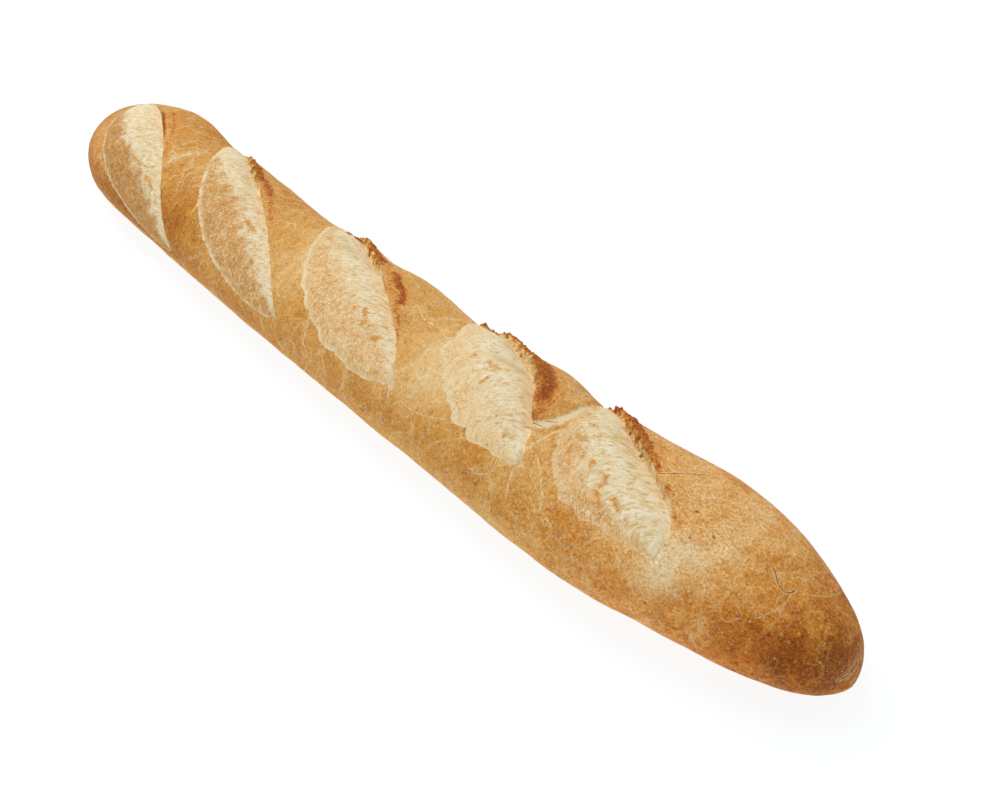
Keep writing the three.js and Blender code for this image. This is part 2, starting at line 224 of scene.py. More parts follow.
# Orange-brown flakes left on the opened dough: points, half width, strength
FLECKS = [
    ([(-105, 8), (-103, 1)], 0.8, 0.9), ([(-99, 13), (-94, 8)], 0.8, 0.7),
    ([(-94, -1), (-93, -2)], 0.8, 0.7), ([(-78, 18), (-72, 20)], 1.9, 0.8),
    ([(-92, -10), (-91, -11)], 0.9, 0.7), ([(-70, 12), (-69, 14)], 0.9, 0.6),
    ([(5, 16), (10, 24)], 1.2, 0.8), ([(19, 31), (21, 28)], 1.5, 1.0),
    ([(1, 20), (2, 22)], 1.0, 0.8), ([(35, 37), (36, 39)], 1.1, 0.7),
    ([(20, 45), (21, 47)], 0.9, 0.7), ([(-18, 15), (-17, 17)], 1.0, 0.6),
    ([(66, -5), (70, -4)], 1.9, 0.75), ([(72, 12), (72, 5)], 1.0, 0.9),
    ([(58, -5), (59, -3)], 1.1, 0.7), ([(87, 23), (88, 25)], 0.8, 0.7),
    ([(92, 44), (93, 46)], 0.8, 0.6), ([(95, 32), (96, 34)], 0.8, 0.7),
    ([(140, 25), (139, 19)], 1.4, 0.8), ([(131, 16), (132, 18)], 1.3, 0.7),
    ([(120, 19), (120, 13)], 1.4, 0.6), ([(147, 28), (151, 32)], 1.1, 0.8),
    ([(117, -7), (120, -8)], 0.8, 0.8), ([(140, 30), (144, 36)], 1.1, 0.7),
    ([(-176, 32), (-169, 36)], 1.1, 0.8), ([(-163, 36), (-153, 38)], 1.0, 0.7),
    ([(-146, 43), (-139, 48)], 1.0, 0.8), ([(-133, 54), (-131, 57)], 0.9, 0.6),
    ([(-156, 37), (-150, 36), (-148, 32)], 0.9, 0.7),
]
# Small dark spots and pinholes: x, turn, radius, strength
SPOTS = [
    (172, 5, 0.7, 1.0), (176, 2, 0.5, 0.7), (178.5, 4, 0.5, 0.7), (177, 21, 0.6, 0.9),
    (179, 12, 0.5, 0.7), (182.5, 12, 0.7, 1.0), (182.5, 9, 0.6, 0.9), (180, 22, 0.5, 0.7),
    (187, 23, 0.5, 0.6), (187.5, 89, 0.9, 1.0), (210, 91, 0.9, 1.0), (220, 71, 0.8, 0.9),
    (175.5, 78, 0.7, 0.9), (-139, 79, 1.1, 0.8), (172, 34, 0.6, 0.7), (222, 26, 1.8, 0.6),
    (219.5, -1, 1.7, 0.4), (200, 35, 1.5, 0.4), (198, 55, 2.2, 0.35), (217.5, 50, 1.8, 0.4),
    (234, 56, 2.6, 0.6), (223.5, 67, 2.0, 0.35), (159, 4, 1.2, 0.5), (168, 16, 1.0, 0.5),
    (29, 90, 1.2, 0.8), (33, 84, 1.0, 0.6),
]
# Paler (-) and darker (+) parts of the crust: x, turn, length, span in degrees, amount
BROWNING = [
    (-225, 0, 22, 200, 0.20), (-165, 85, 60, 24, 0.18), (-60, 88, 60, 20, 0.04),
    (-150, -45, 30, 30, 0.18), (-85, -40, 28, 26, 0.10), (-130, 60, 24, 30, 0.12),
    (52, 20, 16, 40, -0.26), (-35, 0, 13, 50, -0.20), (-125, 15, 16, 30, 0.06),
    (172, 42, 15, 22, -0.30), (182, 5, 32, 52, -0.20), (112, -50, 18, 20, 0.14),
    (204, 66, 26, 36, 0.10), (240, 20, 18, 90, 0.18), (228, 62, 16, 34, 0.12),
    (-112, 45, 14, 24, 0.12), (100, 20, 8, 20, -0.12), (110, 98, 60, 20, -0.10),
    (75, 72, 32, 22, 0.07), (-18, 28, 10, 30, 0.05), (60, 0, 12, 30, -0.09),
]
# Hollows under the torn lips, which dip the dough and are painted with grey-green shade: points, half
# width, strength
SHADED_HOLLOWS = [
    ([(66, -14), (72, -17), (77, -20)], 2.6, 0.8), ([(-40, -28), (-33, -22), (-24, -18)], 3.0, 0.5),
    ([(120, -14), (128, -12)], 2.0, 0.4), ([(-108, -20), (-98, -12)], 3.0, 0.4),
    ([(84, -8), (92, 2)], 3.0, 0.35),
]
# Pale strokes: dusty or freshly opened skin: points, half width, strength
PALE = [
    ([(99, 17), (105, 11), (108, 3), (109, -6), (109, -22)], 1.7, 1.0),
    ([(157, 3), (162, 10), (167, 19), (170, 30)], 0.7, 0.9),
    ([(168, 34), (174, 44), (180, 58)], 5.5, 0.38), ([(176, 30), (185, 30)], 4.5, 0.35),
    ([(172, 50), (178, 66)], 3.0, 0.35), ([(-143, 22), (-141, 5), (-136, -8)], 3.4, 0.35),
    ([(33, 38), (40, 51)], 2.4, 0.55), ([(104, 44), (110, 42)], 2.0, 0.5),
]
# Where the raised flap of the fourth slash ends, from its point up over the loaf
FLAP_END = [(97, 17), (104, 7), (107.5, -7), (107, -25), (104, -50)]
FLAP_REACH = 60.0
FLAP_LEFT_OVER = 0.3  # the share of the lip's height past that line


def smooth(start, end, value):
    share = np.clip((value - start) / (end - start), 0.0, 1.0)
    return share * share * (3.0 - 2.0 * share)


def arch(share, peak, power):
    """0 at both ends of 0..1 and 1 at the peak."""
    warped = np.clip(share, 0.0, 1.0) ** (math.log(0.5) / math.log(peak))
    return np.maximum(np.sin(np.pi * warped), 0.0) ** power


def rounded_end(distance, end):
    share = np.clip(distance / end["length"], 0.0, 1.0)
    return (1.0 - (1.0 - share) ** end["roundness"]) ** (1.0 / end["roundness"])


def half_width_at(x):
    ends = rounded_end(HALF_LENGTH - x, NEAR_END) * rounded_end(x + HALF_LENGTH, FAR_END)
    along = 2.0 * x / LENGTH
    return HALF_WIDTH * ends * (1.0 + TAPER * along) * (1.0 - WAIST * np.cos(np.pi * along))


def centre_line_at(x):
    along = x / LENGTH
    return BOW * (4.0 * along ** 2 - 0.33) + SWAY * (8.0 * along ** 3 - 2.0 * along)


def plain_crust(x, turn):
    """The loaf before it opened, with its underside still round."""
    half_width = half_width_at(x)
    half_height = half_width * HEIGHT_TO_WIDTH
    drop = (HALF_HEIGHT - half_height) * TIP_DROOP - BASE_CUT * HALF_HEIGHT
    angle = np.radians(turn)
    return np.stack([x, centre_line_at(x) - half_width * np.sin(angle),
                     half_height * (1.0 + np.cos(angle)) + drop], axis=-1)


def outward(x, turn):
    """The direction straight out of the plain crust, as it is 0.5 mm short of a tip at most."""
    step = 0.01
    inner = np.clip(x, 0.5 - HALF_LENGTH, HALF_LENGTH - 0.5)
    along = plain_crust(inner + step, turn) - plain_crust(inner - step, turn)
    around = plain_crust(inner, turn + step) - plain_crust(inner, turn - step)
    normal = -np.cross(along, around)
    return normal / np.linalg.norm(normal, axis=-1, keepdims=True)


def patches_at(patches, x, turn):
    """The sum of soft round patches, each given by x, turn, length, span and amount."""
    total = np.zeros_like(x)
    for at_x, at_turn, length, span, amount in patches:
        turned = np.mod(turn - at_turn + 180.0, 360.0) - 180.0
        total += amount * np.exp(-((x - at_x) / length) ** 2 - (turned / span) ** 2)
    return total


def place_at(slash, x, turn):
    """Share along the slash, mm behind its lip, share across its opening, mm inside it."""
    off_x = x - slash.top[0]
    off_y = (turn - slash.top[1]) * CRUST_PER_DEGREE
    share = (off_x * slash.along[0] + off_y * slash.along[1]) / slash.length
    side = slash.along[0] * off_y - slash.along[1] * off_x
    near = -slash.bow * arch(share, slash.bow_at, NEAR_SIDE_POWER)
    far = slash.width * arch(share, slash.widest, slash.blunt)
    past_end = np.maximum(np.maximum(-share, share - 1.0), 0.0) * slash.length
    inside = np.minimum(side - near, far - side)
    inside = np.where(past_end > 0, -np.hypot(side, past_end), inside)
    across = (side - near) / np.maximum(far - near, 0.001)
    return share, near - side, across, inside


def above_base(z):
    blend = (z + BASE_EDGE_RADIUS) ** 2 / (4.0 * BASE_EDGE_RADIUS)
    return np.where(z > BASE_EDGE_RADIUS, z, np.where(z < -BASE_EDGE_RADIUS, 0.0, blend))


# ---------------------------------------------------------------- noise and drawn lines
SHUFFLED = np.tile(np.random.default_rng(11).permutation(256), 2)
SLOPES = np.random.default_rng(12).normal(size=(256, 3))
SLOPES /= np.linalg.norm(SLOPES, axis=1, keepdims=True)
SEED_SHIFT = 17.3  # keeps the noises of two seeds, and two octaves of one, apart
OCTAVE_SHIFT = 5.1
NOISE_GAIN = 1.6


def field(points, size, seed=0.0, octaves=1):
    """Soft noise from about -1 to 1 at each point of an (n, 3) array; size is in mm."""
    total = np.zeros(len(points))
    for octave in range(octaves):
        scaled = points * (2.0 ** octave / size) + SEED_SHIFT * seed + OCTAVE_SHIFT * octave
        cell = np.floor(scaled).astype(int)
        part = scaled - cell
        ease = part ** 3 * (part * (part * 6.0 - 15.0) + 10.0)
        for corner in np.ndindex(2, 2, 2):
            at = (cell + corner) & 255
            pick = SHUFFLED[SHUFFLED[SHUFFLED[at[:, 0]] + at[:, 1]] + at[:, 2]]
            weight = np.prod(np.where(corner, ease, 1.0 - ease), axis=1)
            slope = np.sum(SLOPES[pick] * (part - corner), axis=1)
            total += NOISE_GAIN * weight * slope / 2.0 ** octave
    return total


def beside_line(x, turn, line, reach):
    """Indices of the points within reach of a line, their mm to one side of it (minus on
    the other) and their share along it."""
    spots = [(at_x, at_turn * CRUST_PER_DEGREE) for at_x, at_turn in line]
    y = turn * CRUST_PER_DEGREE
    low, high = np.min(spots, axis=0) - reach, np.max(spots, axis=0) + reach
    close = np.flatnonzero((x > low[0]) & (x < high[0]) & (y > low[1]) & (y < high[1]))
    side = np.full(len(close), FAR_AWAY)
    share = np.zeros(len(close))
    lengths = [math.dist(a, b) for a, b in zip(spots, spots[1:])]
    run = 0.0
    for start, end, length in zip(spots, spots[1:], lengths):
        ahead = ((end[0] - start[0]) / length, (end[1] - start[1]) / length)
        off_x, off_y = x[close] - start[0], y[close] - start[1]
        along = np.clip(off_x * ahead[0] + off_y * ahead[1], 0.0, length)
        gap = np.hypot(off_x - along * ahead[0], off_y - along * ahead[1])
        nearer = gap < np.abs(side)
        signed = np.copysign(gap, ahead[0] * off_y - ahead[1] * off_x)
        side = np.where(nearer, signed, side)
        share = np.where(nearer, (run + along) / sum(lengths), share)
        run += length
    return close, side, share


def drawn_lines(x, turn, lines, reach=3.0):
    """Signed mm from the nearest line, and 1 beside a line fading to 0 at its ends."""
    side = np.full(len(x), reach)
    beside = np.zeros(len(x))
    for strength, line in lines:
        close, gap, share = beside_line(x, turn, line, reach)
        nearer = np.abs(gap) < np.abs(side[close])
        taper = strength * np.minimum(1.0, 4.0 * np.sqrt(share * (1.0 - share)) + 0.15)
        taper *= smooth(reach, 0.5 * reach, np.abs(gap))
        side[close] = np.where(nearer, gap, side[close])
        beside[close] = np.where(nearer, taper, beside[close])
    return side, beside


def painted_strokes(x, turn, strokes):
    """Strength of soft strokes, each given by its points, half width and strength."""
    total = np.zeros(len(x))
    for line, half_width, strength in strokes:
        close, gap, share = beside_line(x, turn, line, 3.0 * half_width)
        total[close] = np.maximum(total[close], strength * np.exp(-(gap / half_width) ** 2))
    return total


# ---------------------------------------------------------------- the opened crust
# Stretches over which things change, as shares of a slash or mm up from the base and
# in from a tip
LIP_START = (0.04, 0.24)
LIP_RUN_OUT = (-0.06, 0.10)  # this one is counted from the slash's own lip_end
RAGGED_START = (0.05, 0.2)
LESS_RAGGED = (0.5, 0.8)
FORM_FROM_TIP = (0.0, 7.0)
RELIEF_FROM_TIP = (0.0, 6.0)
RELIEF_FROM_BASE = (1.0, 5.0)
LIP_RAGGED = 0.55  # mm by which a torn lip wanders off its slash line
STRAND_BULGE = 6.0  # how far the strands of dough curve along the slash
SLASH_APART = 40.0  # these two keep the noise of one slash apart from the next
STRANDS_APART = 37.0
SUNK = 0.32  # the skin lies this far inside the form, which leaves room for its lumps
SPOT_LENGTH = 0.1  # a spot is painted as a stroke this long
# Heights of the fine relief
LUMPS = 0.32
SMALL_LUMPS = 0.12
STRAND_FOLDS = 0.22
BLISTERS = 0.14
BORDER_DIP = 0.25
FLAKE_RISE = 0.30
HOLLOW_DIP = 0.5
CARAMEL_RISE = 0.10
CRACK_DEPTH = 0.18
# How brown the crust is, from 0 to 1: on top, and how much more on its sides, between two
# turns, and at the near tip, between two x
TOP_TOAST = 0.54
SIDE_TOAST = (35.0, 85.0, 0.06)
TIP_TOAST = (188.0, 234.0, 0.17)


def flap_left(x, turn):
    """The share of the lip's height that is left on both sides of the broken flap's end."""
    close, side, _ = beside_line(x, turn, FLAP_END, FLAP_REACH)
    gap = np.full(len(x), -FAR_AWAY)
    gap[close] = side
    return FLAP_LEFT_OVER + (1.0 - FLAP_LEFT_OVER) * smooth(0.7, -0.7, gap)


def lift_beside(slash, share, back, across, wall_foot, left):
    """mm by which one opening lifts the crust, and by which its lip leans over the dough.
    left is the share of the lip that hasn't broken off."""
    run_out = smooth(*LIP_RUN_OUT, share - slash.lip_end)
    wall = smooth(-wall_foot, LIP_WALL, back)
    step = smooth(*LIP_START, share) * (1.0 - run_out) * wall * left
    behind = np.maximum(back - LIP_WALL, 0.0)
    rise = slash.lip * step * np.exp(-behind / LIP_FADE)
    lean = slash.lean * step * np.exp(-(behind / LEAN_FADE) ** 2)
    swell = DOUGH_SWELL * np.sin(np.pi * np.clip(across, 0, 1)) * arch(share, 0.5, 0.6)
    hollow = smooth(*slash.hollow, share) * (1.0 - smooth(slash.lip_end, 1.0, share))
    ahead = np.maximum(-back, 0.0)
    valley = slash.valley * hollow * (1.0 - wall) * np.exp(-(ahead / VALLEY_WIDTH) ** 1.4)
    near_slash = (share > 0.0) & (share < 1.0)
    return np.where(near_slash, rise + swell - valley, 0.0), np.where(near_slash, lean, 0.0)


def facts_beside(index, line, share, back, across, inside):
    """What the crust has become beside one slash."""
    slash = SLASHES[index]
    lobes = np.abs(field(line + across[:, None] * (0.0, 0.0, 6.0), 8.5, seed=1))
    small_lobes = np.abs(field(line + across[:, None] * (0.0, 0.0, 9.0), 3.4, seed=9))
    wavy = slash.scallop * (4.6 * lobes - 1.1) + 0.9 * small_lobes - 0.4
    within = np.clip(across, 0, 1)
    bulge = STRAND_BULGE * 4.0 * within * (1.0 - within)
    return {"inside": inside + wavy, "ahead": -back, "baked": slash.baked, "rim": slash.rim,
            "past_cream": across - np.interp(share, CREAM_AT, slash.cream),
            "woven_x": line[:, 0] + bulge, "woven_y": -back, "woven_z": STRANDS_APART * index}


def opened_crust(x, turn, wall_foot=LIP_WALL):
    """Moves each point of the plain loaf to where it is once the slashes have opened, and
    says what it has become: a dictionary of masks and distances for the materials. The
    wall under each lip starts wall_foot mm ahead of it."""
    height = patches_at(UNEVENNESS, x, turn)
    moved_x, moved_turn = x.copy(), turn.copy()
    flap = flap_left(x, turn)
    best = np.full(len(x), -FAR_AWAY)
    facts = {}
    for index, slash in enumerate(SLASHES):
        share, back, across, inside = place_at(slash, x, turn)
        nowhere = np.zeros_like(x)
        line = np.stack([share * slash.length, nowhere + SLASH_APART * index, nowhere], axis=-1)
        ragged = smooth(*RAGGED_START, share) * (1.0 - 0.7 * smooth(*LESS_RAGGED, share))
        ragged *= LIP_RAGGED * LIP_WALL / wall_foot
        back = back + ragged * field(line, 5.0, seed=8, octaves=3)
        left = flap if slash.flap else 1.0
        lift, lean = lift_beside(slash, share, back, across, wall_foot, left)
        height += lift
        moved_x -= slash.along[1] * lean
        moved_turn += slash.along[0] * lean / CRUST_PER_DEGREE
        nearest = inside > best
        best = np.where(nearest, inside, best)
        for name, value in facts_beside(index, line, share, back, across, inside).items():
            facts[name] = np.where(nearest, value, facts.get(name, 0.0))
    from_tip = HALF_LENGTH - np.abs(x)
    height *= smooth(*FORM_FROM_TIP, from_tip)
    place = plain_crust(moved_x, moved_turn)
    normal = outward(moved_x, moved_turn)
    place += normal * height[:, None]
    place[:, 2] = above_base(place[:, 2])
    add_marks(x, turn, facts)
    relief = fine_relief(place, facts) - SUNK
    relief *= smooth(*RELIEF_FROM_BASE, place[:, 2]) * smooth(*RELIEF_FROM_TIP, from_tip)
    place += normal * relief[:, None]
    return place, normal, facts


def add_marks(x, turn, facts):
    facts["crack"], facts["by_crack"] = drawn_lines(x, turn, CRACKS)
    facts["vein"], facts["by_vein"] = drawn_lines(x, turn, VEINS)
    half = SPOT_LENGTH / 2
    spots = [([(at_x - half, at_turn), (at_x + half, at_turn)], radius, strength)
             for at_x, at_turn, radius, strength in SPOTS]
    strokes = {"caramel": CARAMEL, "fleck": FLECKS, "hollow": SHADED_HOLLOWS, "pale": PALE, "spot": spots}
    for name, painted in strokes.items():
        facts[name] = painted_strokes(x, turn, painted)
    facts["crag"] = facts["pit_shade"] = np.zeros(len(x))
    toast = TOP_TOAST + patches_at(BROWNING, x, turn)
    for (start, end, more), value in ((SIDE_TOAST, np.abs(turn)), (TIP_TOAST, x)):
        toast += more * smooth(start, end, value)
    facts["toast"] = np.clip(toast, 0.0, 1.0)


def fine_relief(place, facts):
    """Height in mm of the soft lumps of the crust and of the folds of opened dough."""
    dough = smooth(-0.4, 0.6, facts["inside"]) * smooth(-0.4, 0.4, facts["ahead"])
    lumps = LUMPS * field(place, 17.0, seed=2)
    lumps += SMALL_LUMPS * field(place, 5.5, seed=3, octaves=2)
    woven = np.stack([facts["woven_x"], facts["woven_y"] * 0.2, facts["woven_z"]], axis=-1)
    folds = field(woven, 3.4, seed=4, octaves=2)
    blisters = field(place, 3.0, seed=5, octaves=2)
    creamy = smooth(0.1, -0.1, facts["past_cream"])
    height = lumps * (1.0 - 0.4 * dough)
    height += dough * (STRAND_FOLDS * creamy * folds + BLISTERS * (1.0 - creamy) * blisters)
    height -= BORDER_DIP * dough * smooth(2.5, 0.0, facts["inside"])
    height += FLAKE_RISE * facts["fleck"] * dough - HOLLOW_DIP * facts["hollow"]
    height += CARAMEL_RISE * facts["caramel"] * (1.0 - dough)
    crack = np.maximum(1.0 - np.abs(facts["crack"]) / 0.9, 0.0) * facts["by_crack"]
    return height - CRACK_DEPTH * crack


# ---------------------------------------------------------------- the loaf's mesh
# Rings across the loaf follow the slashes, so that every lip has an edge of its own.
RING_SPACING = 1.02
LIP_RINGS = (-3.0, -2.3, -1.7, -1.2, -0.8, -0.5, -0.25, 0.0, 0.25, 0.5, 0.8, 1.2, 1.7, 2.3, 3.0)
TOP_TURN = (-84.0, 108.0)
TOP_STEP = 1.12
UNDERSIDE_STEP = 5.2
TIP_CROWDING = 1.5  # rings crowd together towards the tips
SLASH_LINE_POINTS = 400
VALUES = ("inside", "ahead", "past_cream", "baked", "rim", "crack", "by_crack", "vein", "by_vein",
          "caramel", "fleck", "hollow", "pale", "spot", "crag", "pit_shade", "toast")


def turns_round_loaf():
    """The turn of every column of the mesh: close together on top, wide apart below."""
    top_count = int(round((TOP_TURN[1] - TOP_TURN[0]) / TOP_STEP))
    top = np.linspace(TOP_TURN[0], TOP_TURN[1], top_count + 1)
    rest = 360.0 - (TOP_TURN[1] - TOP_TURN[0])
    count = int(round(rest / UNDERSIDE_STEP))
    return np.append(top, TOP_TURN[1] + rest * np.arange(1, count) / count)


def slash_x(slash, turns):
    """x of the slash line at each turn, carried on round the underside so that rings close."""
    line_x, line_turn = slash.point(np.linspace(0.0, 1.0, SLASH_LINE_POINTS), 0.0)
    line_turn = np.maximum.accumulate(line_turn)
    turn = np.mod(turns - line_turn[0], 360.0) + line_turn[0]
    round_back = (turn - line_turn[-1]) / (360.0 - line_turn[-1] + line_turn[0])
    below = line_x[-1] + (line_x[0] - line_x[-1]) * smooth(0.0, 1.0, round_back)
    return np.where(turn <= line_turn[-1], np.interp(turn, line_turn, line_x), below)


def ring_table(turns):
    """The x of every ring at every turn, from the far tip to the near one."""
    rings = []
    start = np.full(len(turns), -HALF_LENGTH)
    top = int(np.argmin(np.abs(turns)))
    for stretch in range(len(SLASHES) + 1):
        at_slash = stretch < len(SLASHES)
        if at_slash:
            slash = SLASHES[stretch]
            line = slash_x(slash, turns)
            end = line + LIP_RINGS[0] / slash.along[1]
        else:
            end = np.full(len(turns), HALF_LENGTH)
        count = int(round((end[top] - start[top]) / RING_SPACING))
        shares = np.arange(1, count) / count
        if stretch == 0:
            shares = shares ** TIP_CROWDING
        if not at_slash:
            shares = 1.0 - (1.0 - shares) ** TIP_CROWDING
        rings += [start + (end - start) * share for share in shares]
        if at_slash:
            rings += [line + offset / slash.along[1] for offset in LIP_RINGS]
            start = rings[-1]
    return np.array(rings)


def shape_mesh(mesh, place, facts):
    """Puts the vertices in place (mm) and keeps what each has become as attributes."""
    mesh.vertices.foreach_set("co", (place * MM).ravel())
    for name in VALUES:
        layer = mesh.attributes.new(name, "FLOAT", "POINT")
        layer.data.foreach_set("value", facts[name].astype(np.float32))
    woven = np.stack([facts["woven_x"], facts["woven_y"], facts["woven_z"]], axis=-1)
    layer = mesh.attributes.new("woven", "FLOAT_VECTOR", "POINT")
    layer.data.foreach_set("vector", woven.astype(np.float32).ravel())
    mesh.polygons.foreach_set("use_smooth", [True] * len(mesh.polygons))
    mesh.update()


def vertex_places(mesh):
    places = np.empty(len(mesh.vertices) * 3)
    mesh.vertices.foreach_get("co", places)
    return places.reshape(-1, 3)


def sculpted_loaf():
    """A sphere laid along X with a ring for each ring of the table, moved to the form. Also
    gives the shift that puts the middle of the loaf's box at the origin."""
    turns = turns_round_loaf()
    rings = ring_table(turns)
    ring_count, columns = rings.shape
    bpy.ops.object.select_all(action="DESELECT")
    bpy.ops.mesh.primitive_uv_sphere_add(segments=columns, ring_count=ring_count + 1, radius=1.0)
    loaf = bpy.context.object
    loaf.name = loaf.data.name = "baguette_loaf"
    ball = vertex_places(loaf.data)
    level = np.arccos(np.clip(ball[:, 2], -1.0, 1.0)) / math.pi * (ring_count + 1)
    ring = ring_count - np.rint(level).astype(int)
    circle = np.arctan2(ball[:, 1], ball[:, 0]) / (2.0 * math.pi)
    column = np.rint(circle * columns).astype(int) % columns
    tip = np.abs(ball[:, 2]) > 1.0 - 1e-7
    x = rings[np.clip(ring, 0, ring_count - 1), column]
    x = np.where(tip, np.sign(ball[:, 2]) * HALF_LENGTH, x)
    turn = np.mod(np.where(tip, 0.0, turns[column]) + 180.0, 360.0) - 180.0
    place, _, facts = opened_crust(x, turn)
    low, high = place.min(axis=0), place.max(axis=0)
    shift = np.array([-(low[0] + high[0]) / 2, -(low[1] + high[1]) / 2, 0.0])
    place[:, 2] = np.maximum(place[:, 2], 0.0)
    shape_mesh(loaf.data, place + shift, facts)
    return loaf, shift


# ---------------------------------------------------------------- the torn crumbs of a lip
CRAG_STEP = 0.25
CRAG_BEHIND = 4.2  # how far a strip of crumbs reaches behind its lip
CRAG_FRONT = 2.5  # and ahead of its farthest crumbs
CRAG_ENDS = (4.0, 14.0)  # mm over which the crumbs begin and run out
CRUMB_BASE = 0.20  # heights of the crumbs
CRUMB_BEADS = 0.9
CRUMB_PITS = 0.5
CRAG_WANDER = 0.35
CRAG_DEPTH = 0.6  # where there are no crumbs, the strip lies this deep in the loaf


def crumb_relief(slash, share, back, reach, ends, place):
    """mm by which the crumbs of a lip stand out; then from 0 to 1, where there are crumbs,
    how browned they are, and the pits between them."""
    spread = ends * smooth(0.0, 1.2, back + reach + 1.6 * field(place, 2.6, seed=21, octaves=3))
    spread *= smooth(0.6, 2.0, CRAG_BEHIND - back + 1.8 * field(place, 2.6, seed=22, octaves=3))
    crest = smooth(-1.6, -0.2, back) * smooth(CRAG_BEHIND, 1.0, back)
    lumps = np.abs(field(place, 2.6, seed=23, octaves=2)) * (0.4 + 0.6 * crest)
    beads = np.abs(field(place, 1.3, seed=20, octaves=2))
    pits = smooth(0.16, 0.40, field(place, 1.5, seed=24)) * (0.35 + 0.65 * smooth(1.0, -0.6, back))
    height = lumps + CRUMB_BEADS * beads + CRUMB_BASE - CRUMB_PITS * pits
    browned = 0.85 * smooth(-0.25 * reach, 0.5, back + field(place, 2.2, seed=25, octaves=3))
    uneven = 1.0 + 0.7 * field(place, 2.4, seed=29, octaves=2)
    for at_share, at_back, radius, rise in slash.knobs:
        gap = uneven * np.hypot((share - at_share) * slash.length, back - at_back) / radius
        spike = np.maximum(1.0 - gap, 0.0) ** 1.2 if rise > SPIKE else np.exp(-gap ** 2)
        height += rise * spike * (0.7 + lumps)
        browned = np.maximum(browned, np.exp(-gap ** 2))
        spread = np.maximum(spread, 1.2 * np.exp(-gap ** 2) - 0.2)
    return height, spread, np.clip(browned, 0.0, 1.0), pits


def crag_strip(index, shift):
    """The torn, browned crumbs along the upper part of one lip."""
    slash = SLASHES[index]
    first, last, first_reach, last_reach = slash.crag
    widest = CRAG_FRONT + max(first_reach, -min(knob[1] for knob in slash.knobs))
    length = slash.length * (last - first)
    bpy.ops.object.select_all(action="DESELECT")
    bpy.ops.mesh.primitive_grid_add(x_subdivisions=int(length / CRAG_STEP), size=1.0,
                                    y_subdivisions=int((widest + CRAG_BEHIND) / CRAG_STEP))
    strip = bpy.context.object
    strip.name = strip.data.name = "baguette_crags_%d" % (index + 1)
    grid = vertex_places(strip.data) + 0.5
    share = first + grid[:, 0] * (last - first)
    reach = first_reach + grid[:, 0] * (last_reach - first_reach)
    back = -widest + grid[:, 1] * (widest + CRAG_BEHIND)
    x, turn = slash.point(share, back)
    run = grid[:, 0] * length
    ends = smooth(0.0, CRAG_ENDS[0], run) * smooth(0.0, CRAG_ENDS[1], length - run)
    place, normal, facts = opened_crust(x, turn, wall_foot=LIP_WALL + 0.75 * reach * ends)

    height, spread, browned, pits = crumb_relief(slash, share, back, reach, ends, place)
    ahead = plain_crust(*slash.point(share, back - 1.0)) - plain_crust(x, turn)
    outwards = 0.7 * normal + 0.7 * ahead * (ends * smooth(2.0, -1.0, back))[:, None]
    place += outwards * (spread * (height - 0.10))[:, None]
    place -= normal * (CRAG_DEPTH * (1.0 - spread))[:, None]
    wander = np.stack([field(place, 1.4, seed=26 + axis, octaves=2) for axis in range(3)], axis=-1)
    place += CRAG_WANDER * spread[:, None] * wander
    facts["crag"] = (0.12 + 0.88 * browned) * smooth(0.15, 0.5, spread)
    # The pits between the crumbs are painted dark as shade in the material.
    facts["pit_shade"] = pits * smooth(0.3, 0.7, spread)
    ahead_of_lip = back < 0.5
    facts["inside"] = np.where(ahead_of_lip, 3.0, facts["inside"])
    facts["ahead"] = np.where(ahead_of_lip, np.maximum(facts["ahead"], 1.0), facts["ahead"])
    facts["past_cream"] = np.minimum(facts["past_cream"], -0.3)
    shape_mesh(strip.data, place + shift, facts)
    return strip


# ---------------------------------------------------------------- shader nodes
SHADE_SHARES = (0.75, 1.1, 2.0)  # how much red, green and blue take part in a shade


